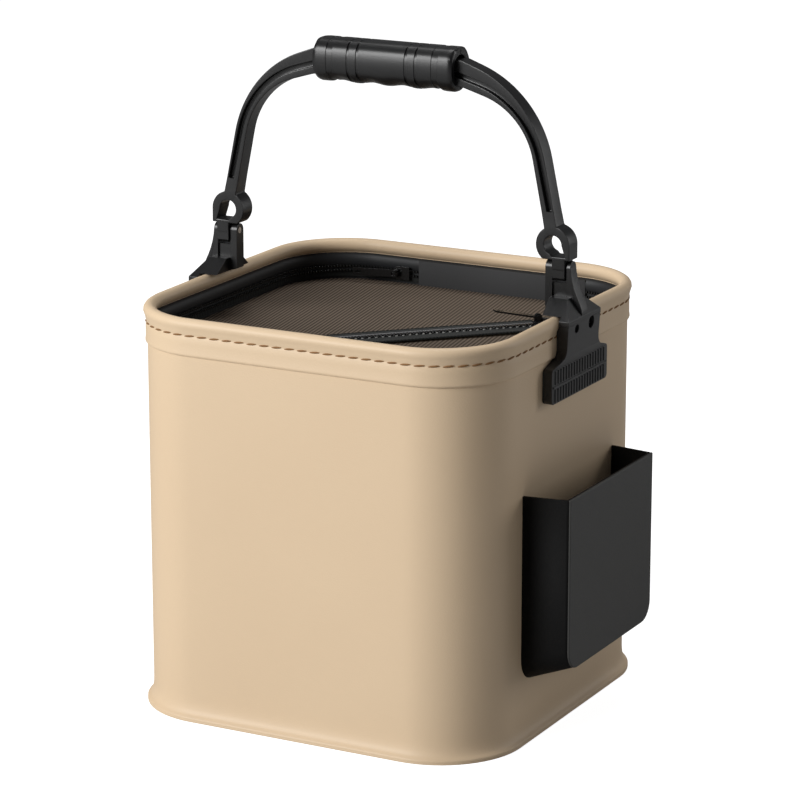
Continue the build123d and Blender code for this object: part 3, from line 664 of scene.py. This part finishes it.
# The shell's sheet carries painted shade on the pocket's sides.
pocket_shell = finished(pocket, "pocket_shell", black_sheet, "base", ["side_pocket"])
pocket_wall = pocket_shell.modifiers.new("sheet", "SOLIDIFY")
pocket_wall.thickness = 2.0 * mm
pocket_wall.offset = -1.0
pocket_wall.use_even_offset = True
folds_down(pocket_shell)

# %% [markdown]
# ## Pocket front
# A paler panel is welded on the pocket's front. A second colour on the shell would have no edge
# that catches light, so it is a thin piece of its own: the same upright face, pulled out by the
# sheet's thickness, with its front edges rounded.

# %% Pocket front panel
panel = upright_face(
    distance=160.1 * mm, low=50.95 * mm, top=164.75 * mm, half=63 * mm, corner=13 * mm
)
pulled_out(panel, (1.3 * mm, 0, 0))
rounded(panel, front_border(panel, 161 * mm), 0.9 * mm, 3)
folds_down(finished(panel, "pocket_panel", grey_sheet, "base", even=True))

# %% [markdown]
# ## Bands and zip tapes
# Inside the rim a padded dark band carries the cover's zip, which runs all round except at the
# back, where the cover is sewn to a plain band. Each tape is a thin section swept round the plan.
# It could be swept in separate stretches, but two cuts and a deletion open it at the back, and the
# cut ends are closed so that no hollow edge shows.

# %% Bands and tapes
tape_out, tape_thick = 127.2, 0.8  # mm


def open_at_hinge(shape):
    """Takes out the stretch at the back where the cover is sewn on."""
    for x in (hinge_left, hinge_right):
        back = [face for face in shape.faces if face.calc_center_median().y > back_only]
        part = dict.fromkeys(item for face in back for item in (*face.verts, *face.edges, face))
        bmesh.ops.bisect_plane(shape, geom=list(part), plane_co=(x, 0, 0), plane_no=(1, 0, 0))
    middles = ((face, face.calc_center_median()) for face in shape.faces)
    sewn_on = [
        face for face, middle in middles
        if middle.y > back_only and hinge_left < middle.x < hinge_right
    ]
    bmesh.ops.delete(shape, geom=sewn_on, context="FACES")
    bmesh.ops.holes_fill(shape, edges=[edge for edge in shape.edges if edge.is_boundary], sides=0)
    return shape


def tape_section(low, high):
    """A tape's section between two heights: a flat strip with soft inner edges."""
    inner = tape_out - tape_thick
    soft = tape_thick * 0.45
    return [
        (tape_out, low), (inner + soft, low), (inner, low + soft),
        (inner - 0.05, (low + high) / 2), (inner, high - soft), (inner + soft, high),
        (tape_out, high),
    ]


padded_section = [
    (128.35, 240.4), (127.5, 240.6), (127.3, 241.5), (127.25, 250.9), (126.4, 251.6),
    (125.9, 253.0), (125.5, 255.0), (125.6, 257.0), (126.1, 258.7), (127.0, 259.9),
    (128.35, 260.3),
]
finished(
    round_the_body(padded_section), "inner_band_cloth", band_cloth, "rim", ["inner_band"],
)
for name, low, high, body, node in (
    ("side_tape_cloth", 250.3, 252.4, "rim", "side_zip_tape"),
    ("cover_tape_cloth", 243.3, 248.7, "hinge", "cover_side_tape"),
):
    tape = open_at_hinge(round_the_body(tape_section(low, high)))
    finished(tape, name, tape_cloth, body, [node])
plain_band = slab(
    low=(hinge_left / mm, 125.0, 240.6), high=(hinge_right / mm, 127.4, 259.4), edge=0.5
)
finished(plain_band, "hinge_band_cloth", hinge_cloth, "rim", ["hinge_band"])

# %% [markdown]
# ## Zip teeth
# Moulded teeth sit along both tapes. A row could be a texture, but its glints come from real
# corners, so one small block is repeated at an even pitch. Its edges are bevelled with a single
# face each, which leaves 26 faces, because there are many hundreds of teeth.

# %% Teeth round the cover
def tooth(across, height):
    """One moulded tooth, which is 1.2 mm long along the zip."""
    return block(Matrix.Identity(4), (1.2 * mm, across, height), edge=0.2 * mm, segments=1)


for name, height, body, node in (
    ("side_teeth_row", 251.1 * mm, "rim", "side_zip_teeth"),
    ("cover_teeth_row", 247.9 * mm, "hinge", "cover_side_teeth"),
):
    places = walk(distance=125.7 * mm, height=height, pitch=2.2 * mm, closed=False)
    row = repeated(tooth(across=1.5 * mm, height=1.6 * mm), places)
    finished(row, name, teeth_plastic, body, [node])

# %% [markdown]
# ## Net cover
# The cover is net, stretched inside the band in two panels, with a slanting zip between them. Cloth
# simulation could hang it, but a net that is zipped in all round hardly sags. So each panel is the
# plan's face, cut along the zip, and a few insets, each a little lower, give the sag. Some more
# cuts are made across both panels near the hinge. The area printed for each panel is taken before
# those cuts.

# %% Net panels
slit_middle = (15 * mm, -15 * mm)
past_the_corner = 400 * mm  # so far from the slanting zip that nothing is cut off there
sag = ((10, 0.0), (8, 0.3), (9, 0.6), (9, 0.4))  # mm: the width of each inset and its drop


def slanted(run, across, height):
    """A place from a distance along the slanting zip and a distance across it."""
    return (
        Matrix.Translation((*slit_middle, height)) @ Matrix.Rotation(math.radians(45), 4, "Z")
        @ Matrix.Translation((run, across, 0))
    )


def cut(shape, point, outward, clear=False):
    """Cuts a shape along a plane, and takes away what lies outwards where asked."""
    bmesh.ops.bisect_plane(
        shape, geom=whole(shape), plane_co=point, plane_no=outward, clear_outer=clear
    )


def slice_of_plan(distance, low, high):
    """The part of the plan's face between two distances across the slanting zip."""
    shape = body_plan(distance, net_height)
    for across, side in ((low, -1), (high, 1)):
        point = slanted(0, across, net_height).translation
        cut(shape, point, (-side, side, 0), clear=True)
    return shape


def net_panel(name, low, high, body, node):
    """One panel of net between two distances across the slanting zip."""
    shape = slice_of_plan(126.6 * mm, low, high)
    bmesh.ops.recalc_face_normals(shape, faces=shape.faces[:])
    if shape.faces[0].normal.z < 0:
        bmesh.ops.reverse_faces(shape, faces=shape.faces[:])
    middle = shape.faces[:]
    for width, drop in sag:
        bmesh.ops.inset_region(
            shape, faces=middle, thickness=width * mm, depth=-drop * mm, use_even_offset=True
        )
    area = sum(face.calc_area() for face in shape.faces)
    for step in range(5):
        cut(shape, (0, bend_end + step * (bend_start - bend_end) / 4, 0), (0, 1, 0))
    panel = finished(shape, name, net_cloth, body, [node])
    print(name, "area", round(area, 4))


net_panel("net_rear", 6 * mm, past_the_corner, "hinge", "cover_mesh_rear")
net_panel("net_front", -past_the_corner, -6 * mm, "cover", "cover_mesh_front")

# %% [markdown]
# ## Slanting zip
# Each half of this zip is a tape, a row of moulded teeth, and an overlocked outer edge, which looks
# like a row of small beads of thread. The rear half has a raised lip that catches the light. Beside
# the front half's teeth a row of pale stitches stands for the white glints there: painted glints.
# The tapes are slices of the plan, and the rest is repeated along a straight line. The two rows of
# teeth are half a pitch apart, as meshed teeth are.

# %% Slanting zip
slit_gap, slit_tape_edge = 1.2, 14.0  # mm across the zip: where its tapes start and end


def along_slit(pitch, across, height, reach, ahead=0.0):
    """Places at an even pitch along the slanting zip, all lengths in mm."""
    count = int(2 * reach / pitch)
    return [
        slanted((step * pitch - reach + ahead) * mm, across * mm, height * mm)
        for step in range(count + 1)
    ]


for side, half in ((1, "rear"), (-1, "front")):
    low, high = sorted((side * slit_gap * mm, side * slit_tape_edge * mm))
    tape = slice_of_plan(124.7 * mm, low, high)
    pulled_out(tape, (0, 0, tape_thick * mm))
    rounded(tape, [edge for edge in tape.edges if edge.calc_face_angle(0.0) > 1.0], 0.2 * mm, 1)
    finished(
        tape, "slit_tape_" + half + "_cloth", tape_cloth, "cover", ["slit_tape_" + half],
    )
    teeth_places = along_slit(
        pitch=2.2, across=side * slit_gap, height=244.7, reach=147.0, ahead=side * 0.55
    )
    finished(
        repeated(tooth(across=2.6 * mm, height=1.0 * mm), teeth_places),
        "slit_teeth_" + half + "_row", teeth_plastic, "cover", ["slit_teeth_" + half],
    )
    edge_places = along_slit(
        pitch=2.4, across=side * 13.4, height=244.1, reach=136.0 + 3 * side
    )
    finished(
        repeated(stitch(length=2.9 * mm, width=1.3 * mm), edge_places), "slit_overlock_" + half,
        tape_cloth, "cover",
    )
lip_size = (294 * mm, 1.1 * mm, 1.2 * mm)
lip_place = slanted(run=0, across=3.6 * mm, height=244.6 * mm)
lip = block(lip_place, lip_size, edge=0.35 * mm, segments=3)
finished(lip, "slit_lip", lip_plastic, "cover")
# A row of pale stitches beside the front teeth: painted glints along the teeth.
glint_places = along_slit(pitch=4.6, across=-3.1, height=244.5, reach=146.0)
glint_row = repeated(stitch(length=2.0 * mm, width=0.8 * mm), glint_places)
finished(glint_row, "slit_glint_stitches", pale_glint_thread, "cover")

# %% [markdown]
# ## Handle and brackets
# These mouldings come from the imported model. Its edges are perfectly sharp, and no moulding's are.
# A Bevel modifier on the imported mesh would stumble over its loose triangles, so a copy of the mesh
# is merged, its flat faces are joined again, and its true corners get a small bevel. The highlight
# along an edge comes from this rounding.

# %% Mouldings with rounded edges
def softened(node, name, finish, body, width):
    """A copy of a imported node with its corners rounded."""
    shape = bmesh.new()
    shape.from_mesh(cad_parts[node].data)
    bmesh.ops.remove_doubles(shape, verts=shape.verts[:], dist=2e-6)
    bmesh.ops.dissolve_limit(
        shape, angle_limit=math.radians(0.8), verts=shape.verts[:], edges=shape.edges[:]
    )
    corners = [
        edge for edge in shape.edges
        if len(edge.link_faces) == 2 and edge.calc_face_angle(0.0) > math.radians(32)
    ]
    rounded(shape, corners, width, 2, clamp_overlap=False, loop_slide=True)
    bmesh.ops.triangulate(shape, faces=[face for face in shape.faces if len(face.verts) > 4])
    return finished(shape, name, finish, body, [node], even=True)


softened(
    "bail", "bail_moulding", black_plastic, "handle", width=0.6 * mm
)
for bracket in ("bracket_right", "bracket_left"):
    softened(
        bracket, bracket + "_moulding", black_plastic, "rim", width=0.25 * mm,
    )

# %% [markdown]
# ## Outer legs of the brackets
# Each bracket has a second leg outside, which curves down onto its roof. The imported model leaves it
# out. It could be a bent bar, but it tapers, so its outline is drawn as one face and pulled out.
# A plain web in the same piece closes the space between the bracket's legs.

# %% Bracket arches and webs
pin_out, pin_height = 123.6 * mm, 298 * mm
arch_half = 4.5 * mm
web_height, web_size = 283.7 * mm, (10.2 * mm, 7.2 * mm, 9.4 * mm)
arch_outer = [
    (131.5, 299.0), (132.0, 294.5), (132.9, 290.0), (134.2, 285.5), (136.0, 281.0),
    (138.2, 276.5), (139.8, 272.5), (140.1, 269.0),
]
arch_inner = [
    (137.6, 269.5), (135.6, 274.5), (133.0, 279.0), (131.0, 283.5), (129.6, 288.5),
    (128.8, 293.5), (128.5, 299.0),
]


def bracket_arch(name, mirror):
    """The curved outer leg of a bracket and the web between its legs."""
    shape = bmesh.new()
    outline = [
        shape.verts.new((mirror * x * mm, -arch_half, z * mm)) for x, z in arch_outer + arch_inner
    ]
    shape.faces.new(outline)
    pulled_out(shape, (0, 2 * arch_half, 0))
    corners = [edge for edge in shape.edges if edge.calc_face_angle(0.0) > 1.0]
    rounded(shape, corners, 0.5 * mm, 2, clamp_overlap=False)
    web_middle = Matrix.Translation((mirror * pin_out, 0.6 * mm, web_height))
    bmesh.ops.create_cube(shape, size=1.0, matrix=web_middle @ Matrix.Diagonal((*web_size, 1.0)))
    finished(shape, name, black_plastic, "rim", sharp=30.0, even=True)


bracket_arch("bracket_arch_right", 1)
bracket_arch("bracket_arch_left", -1)

# %% [markdown]
# ## Tongues of the handle
# Under each ring of the handle a tongue hangs between the bracket's legs and turns on the pin. Its
# lower end is round, so that it can turn. A cylinder would do for the round part, but the tongue is
# narrower than its own circle, so a thick disc is cut off at both flanks and at the pin's height.

# %% Round ends of the handle's tongues
tongue_radius, tongue_half = 8.7 * mm, 6.3 * mm
tongue_thick = 8.6 * mm


def tongue_end(name, mirror):
    """The round lower end of one tongue."""
    shape = bmesh.new()
    on_pin = Matrix.Translation((mirror * pin_out - tongue_thick / 2, 0, pin_height))
    bmesh.ops.create_circle(
        shape, cap_ends=True, segments=40, radius=tongue_radius,
        matrix=on_pin @ Matrix.Rotation(math.pi / 2, 4, "Y"),
    )
    pulled_out(shape, (tongue_thick, 0, 0))
    for point, outward in (
        ((0, tongue_half, 0), (0, 1, 0)), ((0, -tongue_half, 0), (0, -1, 0)),
        ((0, 0, pin_height), (0, 0, 1)),
    ):
        cut(shape, point, outward, clear=True)
        border = [edge for edge in shape.edges if edge.is_boundary]
        bmesh.ops.holes_fill(shape, edges=border, sides=0)
    bmesh.ops.recalc_face_normals(shape, faces=shape.faces[:])
    finished(shape, name, black_plastic, "handle", sharp=30.0)


tongue_end("tongue_end_right", 1)
tongue_end("tongue_end_left", -1)

# %% [markdown]
# ## Grip
# The grip is two shells round the core. It has rings at both ends and a plain middle, its top and
# flanks are flatter than a circle, and its underside has shallow rests for the fingers. A spin
# makes the barrel, transforms shape top, flanks and underside, and a cut parts the shells. Then a
# Solidify modifier gives them a wall.

# %% Grip shells
grip_height = 419.7 * mm
barrel = 15.2  # mm, its radius
grip_section = [(0.0, barrel)]
for middle, width, deep in ((17.6, 1.6, 0.9), (24.6, 1.3, 0.9), (38.2, 4.2, 0.6)):
    grip_section += [
        (middle - width / 2 - 0.3, barrel), (middle - width / 2, barrel - deep),
        (middle + width / 2, barrel - deep), (middle + width / 2 + 0.3, barrel),
    ]
grip_section += [(47.6, barrel), (49.4, 14.6), (50.5, 13.0), (50.5, 9.0)]
top_from, flank_from = 12.9 * mm, 12.6 * mm  # what lies further out is pressed flatter
rests_below, rests_half = 7 * mm, 44 * mm
rest_pitch, rest_depth = 22 * mm, 1.3 * mm


def pressed_flat(shape, verts, origin, factors):
    """Scales some corners towards a point."""
    bmesh.ops.scale(shape, vec=factors, space=Matrix.Translation(-Vector(origin)), verts=verts)


def grip_shell(name, facing, node):
    """One half of the grip: the front one faces -1, the rear one 1."""
    shape = bmesh.new()
    mirrored = [(-along, radius) for along, radius in reversed(grip_section)]
    points = [
        shape.verts.new((along * mm, 0, radius * mm))
        for along, radius in mirrored + grip_section[1:]
    ]
    line = [shape.edges.new(pair) for pair in zip(points, points[1:])]
    long_runs = [edge for edge in line if edge.calc_length() > 4 * mm]
    bmesh.ops.subdivide_edges(shape, edges=long_runs, cuts=6)
    bmesh.ops.spin(
        shape, geom=shape.verts[:] + shape.edges[:], cent=(0, 0, 0), axis=(1, 0, 0),
        angle=2 * math.pi, steps=48, dvec=(0, 0, 0), use_merge=True,
    )
    bmesh.ops.remove_doubles(shape, verts=shape.verts[:], dist=1e-6)
    top = [vert for vert in shape.verts if vert.co.z > top_from]
    pressed_flat(shape, top, (0, 0, top_from), (1, 1, 0.3))
    for flank in (-1, 1):
        wide = [vert for vert in shape.verts if vert.co.y * flank > flank_from]
        pressed_flat(shape, wide, (0, flank * flank_from, 0), (1, 0.45, 1))
    for vert in shape.verts:
        if vert.co.z < -rests_below and abs(vert.co.x) < rests_half:
            between_rests = 0.5 + 0.5 * math.cos(2 * math.pi * vert.co.x / rest_pitch)
            underside = min(1.0, (-vert.co.z - rests_below) / (5 * mm))
            vert.co.z += (1 - between_rests) * rest_depth * underside
    cut(shape, (0, facing * 0.05 * mm, 0), (0, -facing, 0), clear=True)
    bmesh.ops.translate(shape, vec=(0, 0, grip_height), verts=shape.verts[:])
    bmesh.ops.recalc_face_normals(shape, faces=shape.faces[:])
    shell = finished(shape, name, grip_plastic, "handle", [node])
    thick = shell.modifiers.new("wall", "SOLIDIFY")
    thick.thickness = 2.5 * mm
    thick.offset = -1.0


grip_shell("grip_shell_front", -1, "grip_front")
grip_shell("grip_shell_rear", 1, "grip_rear")

# %% [markdown]
# ## Small metal parts
# Sliders and pulls keep their imported shapes, with a fine rounding. They are lacquered black and
# glossier than the plastic, so they glint. The slanting zip's slider gets a raised nose, which is
# only there for its outline. Pins, screws and the rod in the rim keep their imported shapes and
# only get their finish.

# %% Sliders, pulls, pins and screws
for zip_name in ("slit", "side"):
    for part, word in (("slider", "slider_body"), ("pull", "pull_tab")):
        softened(
            zip_name + "_zip_" + part, zip_name + "_" + word, black_metal, zip_name + "_" + part,
            width=0.12 * mm,
        )
slider_run = 97.6 * mm  # from the slanting zip's middle to its closed slider
nose = slab(low=(-0.5, -4.0, 246.6), high=(6.4, 4.0, 249.0), edge=0.9)
bmesh.ops.transform(nose, matrix=slanted(slider_run, 0, 0), verts=nose.verts[:])
finished(nose, "slit_slider_nose", black_metal, "slit_slider", even=True)
for node, finish in (
    ("pivot_pins", dark_steel), ("bracket_screws", dark_steel), ("rim_hoop", black_plastic)
):
    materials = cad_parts[node].data.materials
    materials.clear()
    materials.append(finish)
    print(node, "finished in", finish.name)

# %% [markdown]
# ## Floor and background
# The floor is plain and pale and keeps the bucket's soft shadow. A white background could come
# from strong light, but that would bleach the sheet. So the floor glows and the world is white
# only for the camera, and what lights the bucket is a dim, even room. The glow is a little under
# 1, because the lamps add the rest.

# %% Floor and world
floor_shape = bmesh.new()
bmesh.ops.create_grid(floor_shape, x_segments=1, y_segments=1, size=30.0)
floor_data = bpy.data.meshes.new("floor")
floor_shape.to_mesh(floor_data)
floor_shape.free()
floor = bpy.data.objects.new("floor", floor_data)
bpy.context.scene.collection.objects.link(floor)
black, white, dim_room = (0, 0, 0, 1), (1, 1, 1, 1), (0.11, 0.11, 0.113, 1)
floor_finish = Finish(
    "floor", base_color=(0.45, 0.45, 0.45, 1), roughness=0.95, specular_ior_level=0.0
)
seen = floor_finish.node("ShaderNodeLightPath", output="Is Camera Ray")
floor_finish.set(emission_color=floor_finish.mix(seen, black, white), emission_strength=0.93)
floor_data.materials.append(floor_finish.material)

world = bpy.data.worlds.new("studio")
bpy.context.scene.world = world
world.use_nodes = True
room = Nodes(world.node_tree)
seen = room.node("ShaderNodeLightPath", output="Is Camera Ray")
backdrop = room.mix(seen, dim_room, white)
plug(room.tree, backdrop, room.tree.nodes["Background"].inputs["Color"])
print("floor and world are white for the camera")

# %% [markdown]
# ## Lamps
# One large soft lamp at the front left lights the front face and leaves the right face darker, as
# in the photograph. A sun lamp would give hard shadows, so all three are wide panels. The other two
# are weak: one from above for the rim and grip, and one at the back right for the pocket's side.

# %% Lamps
def soft_light(name, position, target, size, power):
    """A rectangular lamp that looks at a target."""
    lamp = bpy.data.lights.new(name, "AREA")
    lamp.shape = "RECTANGLE"
    lamp.size, lamp.size_y = size
    lamp.energy = power
    panel_object = bpy.data.objects.new(name, lamp)
    bpy.context.scene.collection.objects.link(panel_object)
    aim = (Vector(target) - Vector(position)).to_track_quat("-Z", "Y")
    panel_object.matrix_world = Matrix.Translation(position) @ aim.to_matrix().to_4x4()
    print(name, power, "W")


soft_light("key", (-1.6, -2.8, 1.6), target=(0, 0, 0.18), size=(1.9, 1.7), power=134)
soft_light("top", (-0.2, 0.5, 2.2), target=(0, 0, 0.2), size=(1.2, 1.0), power=16)
soft_light("side", (1.7, 1.6, 0.8), target=(0, 0, 0.2), size=(0.9, 1.3), power=11)
bpy.context.scene.view_settings.view_transform = "Standard"
